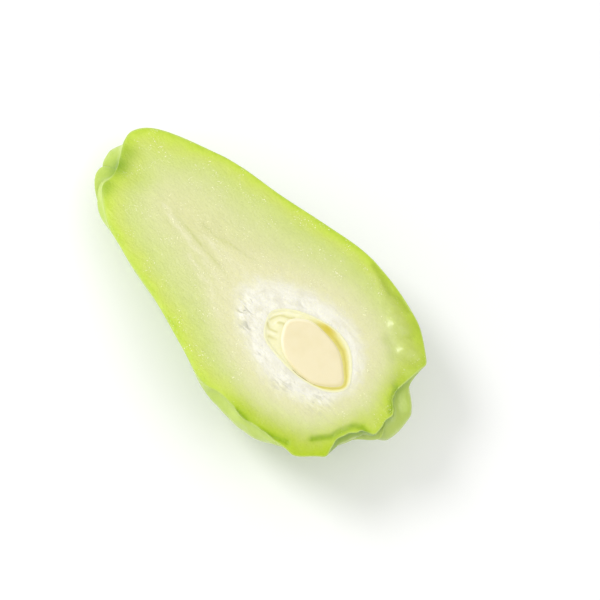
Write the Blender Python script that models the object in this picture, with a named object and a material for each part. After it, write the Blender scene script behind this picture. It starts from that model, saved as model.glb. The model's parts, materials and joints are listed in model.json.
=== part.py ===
"""One half of a chayote squash, cut lengthwise through its seed, lying on its back with the cut face up.

Three solids: the fruit (skin and flesh grown as one), the coat of the seed, and the halved seed.

Everything is shaped in the fruit's own frame first: the cut plane is z = 0, the axis runs along x from the
stem end (negative) to the blossom end (positive), and the rind lies below the plane. lay_down() then turns
the pieces onto the lobes that the half rests on, with the origin under the middle of its box.
Lengths are in millimetres in the tables and functions, and become metres where vertices are made.
"""

import math

import bmesh
import bpy
import numpy as np
from mathutils import Matrix, Vector, noise

MM = 0.001

# The rind before its lobes are raised: (x, half width), from the stem dimple over the belly to the blossom end.
RIND_PROFILE = (
    (-72.8, 0.0),
    (-73.9, 2.6),
    (-76.0, 6.6),
    (-75.2, 11.2),
    (-69.0, 16.9),
    (-58.0, 21.6),
    (-43.0, 25.6),
    (-26.0, 28.3),
    (-8.0, 32.2),
    (8.0, 35.2),
    (22.0, 35.0),
    (35.0, 32.6),
    (46.0, 28.4),
    (54.0, 22.4),
    (58.6, 15.8),
    (59.6, 9.4),
    (57.4, 3.6),
    (56.0, 0.0),
)
FLATNESS = 0.87  # depth below the cut plane over half width
AXIS_BEND = {"shift": 0.7, "crest": -45.0, "half_wave": 90.0}  # the neck leans to +y, and the belly to -y

# The stem end has a shape of its own, which fades out over STEM_REACH: it leans back, its dimple sits
# towards -y, and the lobes under the cut stand out beyond it.
STEM_REACH = (-74.0, -52.0)
STEM_SLANT = {"far": 0.38, "near": 0.46}  # how far it leans back for each mm to +y, and to -y
STEM_SHIFT = {"shift": -3.2, "fades": (-76.0, -48.0), "dimple_shift": -1.8, "dimple_radius": 5.0}
STEM_OVERHANG = {"reach": 5.0, "widening": 0.1, "full_depth": 5.0, "fades": (1.0, 9.0)}

STEM_NICK = {"y": -9.6, "width": 3.2, "depth": 2.3, "half_height": 3.0}  # where the dimple runs into the cut

# Furrows: (angle in degrees from +y round under the fruit, depth, phase of their meander in degrees,
# how far they swing at the stem end, and at the blossom end, in degrees)
FURROWS = (
    (42.0, 3.9, 20.0, 18.0, 0.0),
    (93.0, 3.3, 150.0, 31.0, 19.0),
    (147.0, 3.7, 260.0, 14.0, -19.0),
    (213.0, 3.6, 80.0, 0.0, 0.0),
    (267.0, 3.4, 200.0, 0.0, 0.0),
    (324.0, 3.8, 310.0, 0.0, 0.0),
)
SWINGS = {"stem": (-74.0, -56.0), "blossom": (36.0, 54.0)}  # over which stations they swing
MERGED_FURROW = {"angle": 42.0, "left": 0.12, "stations": (32.0, 46.0)}  # it runs out before the blossom end
FURROW_SHARPNESS = 0.46  # below 0.5 the valley is a crease, and the lobe between is broad
FURROW_MEANDER = 3.2  # degrees to each side
FURROW_WAVE = 78.0  # length of one meander
FURROW_DEPTH_ALONG = ((-76.0, 0.95), (-62.0, 0.62), (-30.0, 0.66), (10.0, 1.0), (60.0, 1.2))
FURROW_START = 7.0  # they run out this far from the axis, at both ends

# The fold on the -y side that leaves the cut's edge a little inside the lobe below it.
SIDE_FOLD = {"angle": 180.0, "x": 24.5, "reach": 15.5, "depth": 3.5, "width": 4.6}
SIDE_SWELL = {"x": 25.0, "reach": 18.0, "share": 0.074}
SIDE_NARROWING = {"share": 0.055, "stations": (42.0, 52.0)}  # the -y side past its swell

# The blossom end's mouth-like cleft lies in the cut plane, with a tongue of flesh in its middle.
CLEFT = {"floor": 50.8, "half_width": 20.0, "corner": 8.0, "half_height": 4.6, "softness": 0.8}
CLEFT_TONGUE = {"height": 6.2, "rises": (-13.0, -6.2), "falls": (0.0, 9.0)}  # over which y it rises and falls
# The cleft's lips are thin: under the cut the rind draws back by sink, from y to y on the +y and the -y side.
UNDER_LIPS = {"far": {"y": (8.0, 19.0), "sink": 10.0}, "near": {"y": (2.0, 10.0), "sink": 6.0},
              "stations": (25.0, 58.0), "full_depth": 4.5}
SHOULDER_NARROWING = {"share": 0.06, "stations": (38.0, 50.0)}  # the +y shoulder is a little narrower

LUMPS = ((21.0, 0.75), (9.0, 0.3))  # (size of a lump, height) of the rind's soft unevenness
LUMP_DEPTH = 4.0  # full this far below the cut, and nothing at it, so that the cut's edge stays true

# The knife leaves the +y shoulder aslant. This line bounds the slanting part of the cut.
SHOULDER_LINE = ((21.7, 28.5), (50.5, 5.9))
SHOULDER_TILT = 8.0  # degrees down

# The seed and its coat: each is a bowl of that depth under a smooth closed outline in the cut plane.
SEED_MIDDLE = (23.0, -2.6)
COAT = {"outline": ((3.3, -3.4), (5.6, 1.6), (12.0, 5.7), (21.5, 8.6), (29.8, 7.7), (36.5, 2.6), (39.6, -2.8),
                    (36.0, -8.2), (27.5, -11.3), (17.5, -11.8), (8.2, -10.2)),
        "depth": 6.4}
SEED = {"outline": ((9.3, -0.4), (11.6, -5.6), (15.8, -9.0), (21.0, -10.4), (26.4, -10.5), (32.0, -9.0),
                    (37.6, -3.4), (34.4, 0.7), (28.0, 4.5), (20.0, 5.4), (13.6, 4.2)),
        "depth": 5.0}
GAP = 0.3  # between touching pieces

# How the half lies: it rolls about its axis and noses down towards the neck until two lobes carry it.
REST_ROLL = 1.5
REST_PITCH = -9.5
FOOT_TRIM = 0.35  # the lobes are pressed flat by this much where they touch the surface

RIND_SEGMENTS = 120  # a column of vertices runs down each furrow
RIND_RINGS = 72
BOWL_SEGMENTS = 64
BOWL_RINGS = 24

SKIN = {"colour": (0.42, 0.60, 0.10, 1.0), "roughness": 0.38}
COAT_SKIN = {"colour": (0.80, 0.72, 0.25, 1.0), "roughness": 0.35}
SEED_FLESH = {"colour": (0.88, 0.78, 0.52, 1.0), "roughness": 0.45}


def clear_scene():
    for obj in list(bpy.data.objects):
        bpy.data.objects.remove(obj)


def make_material(name, look):
    material = bpy.data.materials.new(name)
    material.use_nodes = True
    shader = material.node_tree.nodes["Principled BSDF"]
    shader.inputs["Base Color"].default_value = look["colour"]
    shader.inputs["Roughness"].default_value = look["roughness"]
    shader.inputs["Metallic"].default_value = 0.0
    return material


def smooth_step(low, high, value):
    t = np.clip((value - low) / (high - low), 0.0, 1.0)
    return t * t * (3.0 - 2.0 * t)


def profile_curve(samples=400):
    """Catmull-Rom curve through RIND_PROFILE, evenly spaced: points and outward normals in (x, half width)."""
    knots = np.array(RIND_PROFILE)
    knots = np.vstack([knots[1] * (1, -1), knots, knots[-2] * (1, -1)])
    pieces = []
    for a, b, c, d in zip(knots, knots[1:], knots[2:], knots[3:]):
        t = np.linspace(0.0, 1.0, 30, endpoint=False)[:, None]
        pieces.append(0.5 * (2 * b + (c - a) * t + (2 * a - 5 * b + 4 * c - d) * t**2
                             + (3 * b - a - 3 * c + d) * t**3))
    dense = np.vstack([*pieces, knots[-2:-1]])
    length = np.concatenate([[0.0], np.cumsum(np.linalg.norm(np.diff(dense, axis=0), axis=1))])
    even = np.linspace(0.0, length[-1], samples)
    points = np.column_stack([np.interp(even, length, dense[:, i]) for i in (0, 1)])
    along = np.gradient(points, axis=0)
    along /= np.linalg.norm(along, axis=1)[:, None]
    normals = np.column_stack([-along[:, 1], along[:, 0]])
    return points, normals


def furrow_sides(angle):
    """The furrows on both sides of each angle, as rows of FURROWS, and the angle's share of the way between."""
    lines = np.array([row[0] for row in FURROWS])
    after = np.searchsorted(lines, angle, side="right") % len(lines)
    before = (after - 1) % len(lines)
    gap = (lines[after] - lines[before]) % 360.0
    return before, after, ((angle - lines[before]) % 360.0) / gap


def meander(x, angle):
    """How far the lobes and furrows swing aside, in degrees. They hold still in the cut plane."""
    phases, at_stem, at_blossom = (np.array([row[i] for row in FURROWS]) for i in (2, 3, 4))
    before, after, share = furrow_sides(angle)
    stem = 1.0 - smooth_step(*SWINGS["stem"], x)
    blossom = smooth_step(*SWINGS["blossom"], x)
    swing_1, swing_2 = (
        FURROW_MEANDER * np.sin(np.radians(phases[side] + 360.0 * x / FURROW_WAVE))
        + stem * at_stem[side] + blossom * at_blossom[side] for side in (before, after))
    hold = np.minimum(1.0, 2.0 * np.abs(np.sin(np.radians(angle))))
    return hold * (swing_1 + (swing_2 - swing_1) * share)


def lobe_sink(x, angle, radius):
    """How far the rind lies below its lobes' crests: 0 on a crest, the furrow's depth in a furrow."""
    depths = np.array([row[1] for row in FURROWS])
    merged = np.array([row[0] for row in FURROWS]) == MERGED_FURROW["angle"]
    fade = (1.0 - MERGED_FURROW["left"]) * smooth_step(*MERGED_FURROW["stations"], x)
    before, after, share = furrow_sides(angle)
    depth_1, depth_2 = (depths[side] * (1.0 - merged[side] * fade) for side in (before, after))
    depth = depth_1 + (depth_2 - depth_1) * share
    crest = (4.0 * share * (1.0 - share)) ** FURROW_SHARPNESS
    stations, amounts = zip(*FURROW_DEPTH_ALONG)
    start = 1.0 - np.exp(-((radius / FURROW_START) ** 2))
    return depth * (1.0 - crest) * np.interp(x, stations, amounts) * start


def side_fold_sink(x, angle, radius):
    across = np.radians(angle - SIDE_FOLD["angle"]) * radius / SIDE_FOLD["width"]
    along = (x - SIDE_FOLD["x"]) / SIDE_FOLD["reach"]
    return SIDE_FOLD["depth"] * np.exp(-np.abs(across) ** 1.5 - along**4)


def open_cleft(x, y, z):
    """Draws the blossom end in to the cleft's floor along the cut plane."""
    tongue = smooth_step(*CLEFT_TONGUE["rises"], y) * (1.0 - smooth_step(*CLEFT_TONGUE["falls"], y))
    floor = CLEFT["floor"] + CLEFT_TONGUE["height"] * tongue
    width = CLEFT["half_width"]
    reach = 1.0 - smooth_step(width, width + CLEFT["corner"], np.abs(y))
    pull = reach * np.exp(-((z / CLEFT["half_height"]) ** 2))
    beyond = CLEFT["softness"] * np.logaddexp(0.0, (x - floor) / CLEFT["softness"])
    return x - beyond * pull


def under_lips_sink(x, y, z):
    """How far the rind under the cut draws back from the cleft's lips."""
    sides = ((1.0, UNDER_LIPS["far"]), (-1.0, UNDER_LIPS["near"]))
    sink = sum(lip["sink"] * smooth_step(*lip["y"], side * y) for side, lip in sides)
    under = smooth_step(0.0, UNDER_LIPS["full_depth"], np.abs(z))
    return sink * under * smooth_step(*UNDER_LIPS["stations"], x)


def shape_stem_end(x, y, z, radius):
    """Leans the stem end back, moves its dimple aside, nicks the cut and lets the lobes under it stand out."""
    stem_end = 1.0 - smooth_step(*STEM_REACH, x)
    slant = np.where(y > 0.0, STEM_SLANT["far"], STEM_SLANT["near"])
    under = smooth_step(0.0, STEM_OVERHANG["full_depth"], np.abs(z))
    under = under * (1.0 - smooth_step(*STEM_OVERHANG["fades"], y))
    dimple = np.exp(-((radius / STEM_SHIFT["dimple_radius"]) ** 2))
    shift = STEM_SHIFT["shift"] * (1.0 - smooth_step(*STEM_SHIFT["fades"], x))
    shift = shift + STEM_SHIFT["dimple_shift"] * stem_end * dimple
    wider = 1.0 + STEM_OVERHANG["widening"] * stem_end * under
    x = x - stem_end * (slant * y + STEM_OVERHANG["reach"] * under)
    y = y * wider + shift
    across, below = (y - STEM_NICK["y"]) / STEM_NICK["width"], z / STEM_NICK["half_height"]
    return x + stem_end * STEM_NICK["depth"] * np.exp(-across**2 - below**2), y


def shape_sides(x, y):
    """Bends the axis, swells the -y side over its fold and narrows both sides at the blossom end."""
    y = y + AXIS_BEND["shift"] * np.cos(np.pi * (x - AXIS_BEND["crest"]) / AXIS_BEND["half_wave"])
    narrower = 1.0 - SHOULDER_NARROWING["share"] * smooth_step(*SHOULDER_NARROWING["stations"], x)
    wider = 1.0 + SIDE_SWELL["share"] * np.exp(-(((x - SIDE_SWELL["x"]) / SIDE_SWELL["reach"]) ** 2))
    wider = wider - SIDE_NARROWING["share"] * smooth_step(*SIDE_NARROWING["stations"], x)
    return y * np.where(y > 0.0, narrower, wider)


def rind_points(share, angle):
    """Points of the rind. share runs 0 to 1 from stem to blossom end; angle is in degrees, as in FURROWS."""
    points, normals = profile_curve()
    at = np.linspace(0.0, 1.0, len(points))
    x, radius = (np.interp(share, at, points[:, i]) for i in (0, 1))
    normal_x, normal_r = (np.interp(share, at, normals[:, i]) for i in (0, 1))
    sink = lobe_sink(x, angle, radius) + side_fold_sink(x, angle, radius)
    turn = np.radians(angle + meander(x, angle))
    radius_2 = np.maximum(radius - normal_r * sink, 0.0)
    x = x - normal_x * sink
    y = radius_2 * np.cos(turn)
    z = -radius_2 * np.sin(turn) * FLATNESS
    x, y = shape_stem_end(x, y, z, radius)
    y = shape_sides(x, y)
    x = x - under_lips_sink(x, y, z)
    x = open_cleft(x, y, z)
    return np.column_stack([x, y, z])


def add_lumps(points):
    """Soft unevenness, outward from the axis."""
    moved = points.copy()
    for i, (x, y, z) in enumerate(points):
        at = Vector((x, y, z))
        rise = sum(high * noise.noise(at / size + Vector((size, 0.0, 0.0))) for size, high in LUMPS)
        outward = Vector((0.0, y, z))
        if outward.length > 1.0:
            moved[i] += np.array(outward.normalized()) * rise * min(1.0, abs(z) / LUMP_DEPTH)
    return moved


def set_points(mesh, points):
    for vertex, point in zip(mesh.verts, points):
        vertex.co = Vector(point) * MM


def rind_mesh():
    """A sphere with its poles at the stem and the blossom end, each vertex moved to its place on the rind."""
    mesh = bmesh.new()
    bmesh.ops.create_uvsphere(mesh, u_segments=RIND_SEGMENTS, v_segments=RIND_RINGS, radius=1.0)
    sphere = np.array([vertex.co for vertex in mesh.verts])
    share = 1.0 - np.arccos(np.clip(sphere[:, 2], -1.0, 1.0)) / math.pi
    angle = np.degrees(np.arctan2(-sphere[:, 1], sphere[:, 0])) % 360.0
    set_points(mesh, add_lumps(rind_points(share, angle)))
    return mesh


def cut_flat(mesh, point, normal):
    """Takes away what stands above a plane and closes the mesh with one flat face."""
    geometry = [*mesh.verts, *mesh.edges, *mesh.faces]
    cut = bmesh.ops.bisect_plane(mesh, geom=geometry, dist=1e-7, plane_co=point, plane_no=normal, clear_outer=True)
    rim = [item for item in cut["geom_cut"] if isinstance(item, bmesh.types.BMEdge)]
    for face in bmesh.ops.edgeloop_fill(mesh, edges=rim)["faces"]:
        face.normal_update()
        if face.normal.dot(normal) < 0.0:
            face.normal_flip()


def shoulder_plane():
    (x_1, y_1), (x_2, y_2) = SHOULDER_LINE
    outward = Vector((y_1 - y_2, x_2 - x_1, 0.0)).normalized()
    tilt = math.radians(SHOULDER_TILT)
    return Vector((x_1, y_1, 0.0)) * MM, outward * math.sin(tilt) + Vector((0.0, 0.0, math.cos(tilt)))


def rim_reach(outline, bearing):
    """How far the closed Catmull-Rom curve through the outline lies from SEED_MIDDLE, in each direction."""
    knots = np.array(outline)
    before, after, following = (np.roll(knots, turns, axis=0) for turns in (1, -1, -2))
    t = np.linspace(0.0, 1.0, 24, endpoint=False)[:, None]
    curve = np.vstack([0.5 * (2 * b + (c - a) * t + (2 * a - 5 * b + 4 * c - d) * t**2
                              + (3 * b - a - 3 * c + d) * t**3)
                       for a, b, c, d in zip(before, knots, after, following)])
    offset = curve - SEED_MIDDLE
    around = np.arctan2(offset[:, 1], offset[:, 0])
    order = np.argsort(around)
    return np.interp(bearing, around[order], np.linalg.norm(offset, axis=1)[order], period=2.0 * math.pi)


def bowl_mesh(bowl, grow=0.0):
    """A ball stretched out to the outline and down to the depth. The part above the cut is cut off later."""
    mesh = bmesh.new()
    bmesh.ops.create_uvsphere(mesh, u_segments=BOWL_SEGMENTS, v_segments=BOWL_RINGS, radius=1.0)
    ball = np.array([vertex.co for vertex in mesh.verts])
    bearing = np.arctan2(ball[:, 1], ball[:, 0])
    radius = (rim_reach(bowl["outline"], bearing) + grow) * np.hypot(ball[:, 0], ball[:, 1])
    set_points(mesh, np.column_stack([SEED_MIDDLE[0] + radius * np.cos(bearing),
                                      SEED_MIDDLE[1] + radius * np.sin(bearing),
                                      ball[:, 2] * (bowl["depth"] + grow)]))
    return mesh


def lay_down(mesh):
    rest = Matrix.Rotation(math.radians(REST_PITCH), 3, "Y") @ Matrix.Rotation(math.radians(REST_ROLL), 3, "X")
    bmesh.ops.transform(mesh, matrix=rest.to_4x4(), verts=mesh.verts)


def make_object(name, mesh, material=None):
    data = bpy.data.meshes.new(name)
    mesh.to_mesh(data)
    mesh.free()
    obj = bpy.data.objects.new(name, data)
    bpy.context.scene.collection.objects.link(obj)
    if material:
        data.materials.append(material)
        data.shade_smooth()
        data.set_sharp_from_angle(angle=math.radians(35.0))
    return obj


def make_cutter(name, bowl, grow):
    mesh = bowl_mesh(bowl, grow)
    lay_down(mesh)
    cutter = make_object(name, mesh)
    cutter.hide_render = True
    cutter.display_type = "WIRE"
    return cutter


def carve(obj, cutter):
    modifier = obj.modifiers.new("pocket", "BOOLEAN")
    modifier.operation = "DIFFERENCE"
    modifier.solver = "EXACT"
    modifier.object = cutter


def make_fruit():
    mesh = rind_mesh()
    cut_flat(mesh, Vector(), Vector((0.0, 0.0, 1.0)))
    cut_flat(mesh, *shoulder_plane())
    lay_down(mesh)
    lowest = min(vertex.co.z for vertex in mesh.verts)
    cut_flat(mesh, Vector((0.0, 0.0, lowest + FOOT_TRIM * MM)), Vector((0.0, 0.0, -1.0)))
    fruit = make_object("fruit_half", mesh, make_material("skin", SKIN))
    carve(fruit, make_cutter("pocket_cutter", COAT, GAP))
    return fruit


def make_bowl_half(name, bowl, material):
    mesh = bowl_mesh(bowl)
    cut_flat(mesh, Vector(), Vector((0.0, 0.0, 1.0)))
    lay_down(mesh)
    return make_object(name, mesh, material)


def stand_on_origin(fruit, pieces):
    """Puts the origin under the middle of the fruit's box."""
    points = np.array([vertex.co for vertex in fruit.data.vertices])
    low, high = points.min(axis=0), points.max(axis=0)
    place = bpy.data.objects.new("half_at_rest", None)
    bpy.context.scene.collection.objects.link(place)
    place.location = (-(low[0] + high[0]) / 2, -(low[1] + high[1]) / 2, -low[2])
    for piece in pieces:
        piece.parent = place


def main():
    clear_scene()
    fruit = make_fruit()
    coat = make_bowl_half("seed_coat", COAT, make_material("seed_coat", COAT_SKIN))
    carve(coat, make_cutter("seed_cutter", SEED, GAP))
    make_bowl_half("seed", SEED, make_material("seed", SEED_FLESH))
    stand_on_origin(fruit, [obj for obj in bpy.context.scene.objects if obj.type == "MESH"])


main()
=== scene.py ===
import json
import math

import bmesh
import bpy
import numpy as np
from mathutils import Matrix, Vector, noise


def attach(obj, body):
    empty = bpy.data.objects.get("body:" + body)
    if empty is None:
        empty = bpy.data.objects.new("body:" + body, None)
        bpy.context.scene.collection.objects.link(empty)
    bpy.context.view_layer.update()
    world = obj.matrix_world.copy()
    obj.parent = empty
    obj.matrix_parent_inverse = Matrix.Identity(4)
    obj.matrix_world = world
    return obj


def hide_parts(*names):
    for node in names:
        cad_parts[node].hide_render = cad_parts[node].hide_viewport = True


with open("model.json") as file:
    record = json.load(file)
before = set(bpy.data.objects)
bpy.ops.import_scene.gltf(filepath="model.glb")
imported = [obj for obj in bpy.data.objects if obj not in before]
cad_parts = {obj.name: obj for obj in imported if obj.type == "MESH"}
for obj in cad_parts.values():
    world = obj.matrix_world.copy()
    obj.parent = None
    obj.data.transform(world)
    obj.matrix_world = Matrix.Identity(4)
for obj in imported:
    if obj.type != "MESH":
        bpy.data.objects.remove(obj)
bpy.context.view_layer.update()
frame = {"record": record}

# A chayote half on its back, cut face up. Every piece is shaped in the fruit's own frame, in millimetres:
# the knife's plane is z = 0, x runs from the stem to the blossom end, and the rind lies below the plane.

mm = 0.001
cutPoint = (-35, 0, 0)  # where the cut_face mount lies in the fruit's own frame


def restTurn():
    # from the fruit's own frame to where the half lies
    cut = next(mount for mount in frame["record"]["mounts"] if mount["name"] == "cut_face")
    normal = Vector(cut["axis"])
    noseDown = Matrix.Rotation(math.atan2(normal.x, normal.z), 3, "Y")
    turn = noseDown @ Matrix.Rotation(-math.asin(normal.y), 3, "X")
    place = turn.to_4x4()
    place.translation = Vector(cut["pos_m"]) - turn @ (Vector(cutPoint) * mm)
    return place


rest = restTurn()


def smoothStep(low, high, value):
    t = np.clip((value - low) / (high - low), 0, 1)
    return t * t * (3 - 2 * t)


def bell(value, reach):
    # 1 at nought, and less on both sides of it
    return np.exp(-((value / reach) ** 2))


def softNoise(points, size, seed=0):
    # smooth noise from about -1 to 1, with lumps of about that size in mm
    shift = Vector((seed, seed * 1.7, -seed))
    return np.array([noise.noise(Vector(point) / size + shift) for point in points])


def bend(flat, points, size, reach):
    # points of the plane pushed aside by smooth noise, so that lines drawn on them wander
    return flat + np.column_stack([softNoise(points, size, seed) for seed in (2, 6)]) * reach


def curveBetween(a, b, c, d, t):
    # the stretch from b to c of a smooth curve through all four
    return 0.5 * (2 * b + (c - a) * t + (2 * a - 5 * b + 4 * c - d) * t**2 + (3 * b - a - 3 * c + d) * t**3)


def clearSelection():
    if bpy.context.object and bpy.context.object.mode != "OBJECT":
        bpy.ops.object.mode_set(mode="OBJECT")
    bpy.ops.object.select_all(action="DESELECT")


def makeActive(obj):
    clearSelection()
    obj.select_set(True)
    bpy.context.view_layer.objects.active = obj


def getPoints(obj):
    points = np.empty(len(obj.data.vertices) * 3)
    obj.data.vertices.foreach_get("co", points)
    return points.reshape(-1, 3)


def setPoints(obj, points):
    obj.data.vertices.foreach_set("co", np.asarray(points, dtype=float).ravel())
    obj.data.update()


def storeValue(obj, name, values):
    layer = obj.data.attributes.get(name) or obj.data.attributes.new(name, "FLOAT", "POINT")
    layer.data.foreach_set("value", np.asarray(values, dtype=float))


def readValue(obj, name):
    values = np.empty(len(obj.data.vertices))
    obj.data.attributes[name].data.foreach_get("value", values)
    return values


def layToRest(obj):
    # millimetres in the fruit's frame become metres at rest, and nothing goes below the surface it lies on
    points = getPoints(obj) * mm
    turned = points @ np.array(rest.to_3x3()).T + np.array(rest.translation)
    turned[:, 2] = np.maximum(turned[:, 2], 0)
    setPoints(obj, turned)


def finishPiece(obj, materials, node, sharpDegrees):
    for mat in materials:
        obj.data.materials.append(mat)
    layToRest(obj)
    makeActive(obj)
    bpy.ops.object.shade_smooth_by_angle(angle=math.radians(sharpDegrees))
    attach(obj, "root")
    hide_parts(node)


def colour(hexValue, alpha=1):
    channels = [int(hexValue[i:i + 2], 16) / 255 for i in (1, 3, 5)]
    return (*[c / 12.92 if c <= 0.04045 else ((c + 0.055) / 1.055) ** 2.4 for c in channels], alpha)


def plugIn(mat, node, values):
    # a socket is linked and a plain value is set, by input name or number
    for position, value in values.items():
        if isinstance(value, bpy.types.NodeSocket):
            mat.node_tree.links.new(value, node.inputs[position])
        else:
            node.inputs[position].default_value = value


def addNode(mat, kind, stops=None, links=None, output=0, **settings):
    # adds a node and gives one of its outputs: settings are its attributes or input values
    made = mat.node_tree.nodes.new("ShaderNode" + kind)
    for name, value in settings.items():
        if hasattr(made, name):
            setattr(made, name, value)
        else:
            made.inputs[name.replace("_", " ")].default_value = value
    plugIn(mat, made, links or {})
    if stops:
        ramp = made.color_ramp
        while len(ramp.elements) < len(stops):
            ramp.elements.new(1)
        for element, (position, value) in zip(ramp.elements, stops):
            element.position = position
            element.color = colour(value)
    return made.outputs[output]


def newMaterial(name):
    mat = bpy.data.materials.new(name)
    mat.use_nodes = True
    return mat, mat.node_tree.nodes["Principled BSDF"]


rind = {
    "profile": ((-72.8, 0), (-73.9, 2.6), (-76, 6.6), (-75.2, 11.2), (-69, 16.9), (-58, 21.6),
                (-43, 25.6), (-26, 28.3), (-8, 32.2), (8, 35.2), (22, 35), (35, 32.6), (46, 28.4),
                (54, 22.4), (58.6, 15.8), (59.6, 9.4), (57.4, 3.6), (56, 0)),  # (x, half width)
    "flatness": 0.87,
    "axisBend": {"shift": 0.7, "x": -45, "wave": 90},
    "stemEnd": (-74, -52),  # the stem end's own shape is full at the first x and gone at the second
    "stemSlant": {"far": 0.38, "near": 0.46},  # how far the stem end leans back, on the +y and -y sides
    "stemAside": {"shift": -3.2, "x": (-76, -48), "notchShift": -1.8, "notchReach": 5},
    "stemOverhang": {"reach": 5, "widening": 0.1, "below": (0, 5), "fadesOut": (1, 9)},
    "stemNick": {"y": -9.6, "width": 3.2, "depth": 2.3, "halfHeight": 3},  # where the notch runs into the cut
    "furrows": ((42, 3.9, 20, 18, 0), (93, 3.3, 150, 31, 19), (147, 3.7, 260, 14, -19),
                (213, 3.6, 80, 0, 0), (267, 3.4, 200, 0, 0), (324, 3.8, 310, 0, 0)),
    # each furrow: angle, depth, meander phase, swing at the stem end, swing at the blossom end
    "swings": {"stem": (-74, -56), "blossom": (36, 54)},
    "furrowSharpness": 0.46,
    "furrowMeander": 3.2,
    "furrowWave": 78,
    "furrowDepthAlong": ((-76, 0.95), (-62, 0.62), (-30, 0.66), (10, 1), (60, 1.2)),
    "calmEnds": 7,  # the furrows run out this near the fruit's axis
    "mergedFurrow": {"angle": 42, "left": 0.12, "stem": (-60, -70), "blossom": (32, 46)},
    "sideFold": {"angle": 180, "x": 24.5, "reach": 15.5, "depth": 3.5, "width": 4.6},
    "nearSwell": {"x": 25, "reach": 18, "share": 0.074},
    "nearNarrowing": {"share": 0.055, "x": (42, 52)},
    "farNarrowing": {"share": 0.06, "x": (38, 50)},
    "stripBulge": {"x": 7, "reach": 7.5, "height": 1.1, "below": (0, 5), "y": (-8, -24)},
    "cleft": {"floor": 50.8, "halfWidth": 20, "corner": 8, "halfHeight": 4.6, "softness": 0.8},
    "cleftTongue": {"height": 6.2, "rises": (-13, -6.2), "falls": (0, 9)},
    "cleftFolds": ((-8.8, 1.9, 1.2), (5.4, 0.6, 1), (-16.6, 1.1, 2.6)),  # (y, depth, half width)
    "underLips": {"far": (8, 19, 10), "near": (2, 10, 6),  # (from, to, sink)
                  "below": (0, 4.5), "x": (25, 58)},
    "edgeRipples": {"size": 6, "height": 0.55, "inwards": 1.2, "x": (2, 12), "y": (-18, -28),
                    "below": 7},  # small waves along the near side of the knife's edge
    "lumps": ((21, 0.75), (9, 0.3), (4.2, 0.1)),  # (size, height)
    "lumpsBelow": 4,  # the lumps are full this far below the knife's edge
    "inset": 0.2,  # keeps the small lumps inside the solid's box, as the next line does
    "boxFit": {"pulls": ((0.22, -60, -74), (-0.15, 40, 55)), "across": 0.998},
    "segments": 360,  # one column a degree, so that one runs down each furrow
    "rings": 260,
}
skinMarks = {  # where the skin is painted deep green as shade in its recesses and under the knife's edge, and where it is pale, partly as painted light
    "furrowFull": 3.6,
    "cleft": {"x": (44, 50), "y": (28, 20), "below": 2.8},
    "fold": {"y": (-20, -28), "below": 1.4, "strength": 0.25, "pale": 0.8},
    "notch": {"x": -72.5, "y": -5, "spread": 18},
    # the lobes at both ends stay pale further down, as painted light
    "paleEnds": ((0.6, -62, -74), (0.85, 38, 48)),
}


def profileCurve(samples=800):
    knots = np.array(rind["profile"])
    knots = np.vstack([knots[1] * (1, -1), knots, knots[-2] * (1, -1)])
    t = np.linspace(0, 1, 30, endpoint=False)[:, None]
    pieces = [curveBetween(a, b, c, d, t) for a, b, c, d in zip(knots, knots[1:], knots[2:], knots[3:])]
    dense = np.vstack([*pieces, knots[-2:-1]])
    length = np.concatenate([[0], np.cumsum(np.linalg.norm(np.diff(dense, axis=0), axis=1))])
    even = np.linspace(0, length[-1], samples)
    points = np.column_stack([np.interp(even, length, dense[:, i]) for i in (0, 1)])
    along = np.gradient(points, axis=0)
    along /= np.linalg.norm(along, axis=1)[:, None]
    return points, np.column_stack([-along[:, 1], along[:, 0]])


def furrowSides(angle):
    lines = np.array([row[0] for row in rind["furrows"]])
    after = np.searchsorted(lines, angle, side="right") % len(lines)
    before = (after - 1) % len(lines)
    gap = (lines[after] - lines[before]) % 360
    return before, after, ((angle - lines[before]) % 360) / gap


def meander(x, angle):
    # how far the lobes and furrows swing aside; they hold still in the knife's plane
    phases, atStem, atBlossom = (np.array([row[i] for row in rind["furrows"]]) for i in (2, 3, 4))
    before, after, share = furrowSides(angle)
    stem = 1 - smoothStep(*rind["swings"]["stem"], x)
    blossom = smoothStep(*rind["swings"]["blossom"], x)
    first, second = (rind["furrowMeander"] * np.sin(np.radians(phases[side] + 360 * x / rind["furrowWave"]))
        + stem * atStem[side] + blossom * atBlossom[side] for side in (before, after))
    hold = np.minimum(1, 2 * np.abs(np.sin(np.radians(angle))))
    return hold * (first + (second - first) * share)


def lobeSink(x, angle, radius):
    # how far the skin lies below its crests, on and beside the furrows
    depths = np.array([row[1] for row in rind["furrows"]])
    before, after, share = furrowSides(angle)
    merged = rind["mergedFurrow"]  # it runs out before it reaches either end
    isMerged = np.array([row[0] for row in rind["furrows"]]) == merged["angle"]
    ends = np.maximum(smoothStep(*merged["stem"], x), smoothStep(*merged["blossom"], x))
    fade = (1 - merged["left"]) * ends
    first, second = (depths[side] * (1 - isMerged[side] * fade) for side in (before, after))
    depth = first + (second - first) * share
    crest = (4 * share * (1 - share)) ** rind["furrowSharpness"]
    stations, amounts = zip(*rind["furrowDepthAlong"])
    return depth * (1 - crest) * np.interp(x, stations, amounts) * (1 - bell(radius, rind["calmEnds"]))


def openCleft(x, y, z):
    # the blossom end is pressed in to the floor of its cleft, near the knife's plane
    cleft, tongue = rind["cleft"], rind["cleftTongue"]
    rise = tongue["height"] * smoothStep(*tongue["rises"], y) * (1 - smoothStep(*tongue["falls"], y))
    floor = cleft["floor"] + rise
    for at, depth, half in rind["cleftFolds"]:
        floor = floor - depth * bell(y - at, half)
    reach = 1 - smoothStep(cleft["halfWidth"], cleft["halfWidth"] + cleft["corner"], np.abs(y))
    pull = reach * bell(z, cleft["halfHeight"])
    return x - pull * cleft["softness"] * np.logaddexp(0, (x - floor) / cleft["softness"])


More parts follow.
